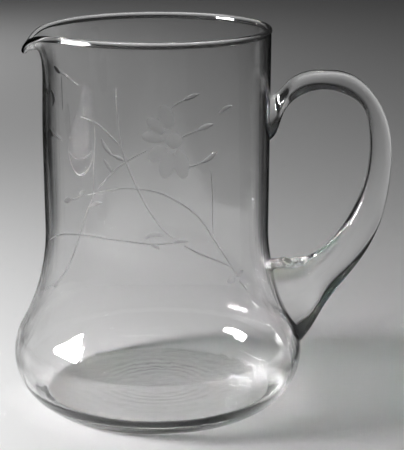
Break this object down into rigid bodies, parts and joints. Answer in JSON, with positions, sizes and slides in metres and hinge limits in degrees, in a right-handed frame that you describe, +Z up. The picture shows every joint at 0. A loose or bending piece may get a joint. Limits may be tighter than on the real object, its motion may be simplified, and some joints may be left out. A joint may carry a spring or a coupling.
{
  "type": "cocktail pitcher",
  "caption": "Clear blown-glass cocktail pitcher with a tall straight wall, a rounded low bulge, a pulled pouring lip and a looped applied handle.",
  "frame": {"origin": "centre of the base's flat resting face, on the vessel's axis", "axes": "+Z up along the vessel's axis, +X towards the handle, -X towards the pouring lip"},
  "size_m": [0.1999, 0.154, 0.2],
  "materials": {
    "vessel_glass": "clear, fire-polished",
    "handle_glass": "clear, fire-polished"
  },
  "bodies": {
    "root": {"vessel": "vessel_glass", "handle": "handle_glass"}
  },
  "joints": []
}
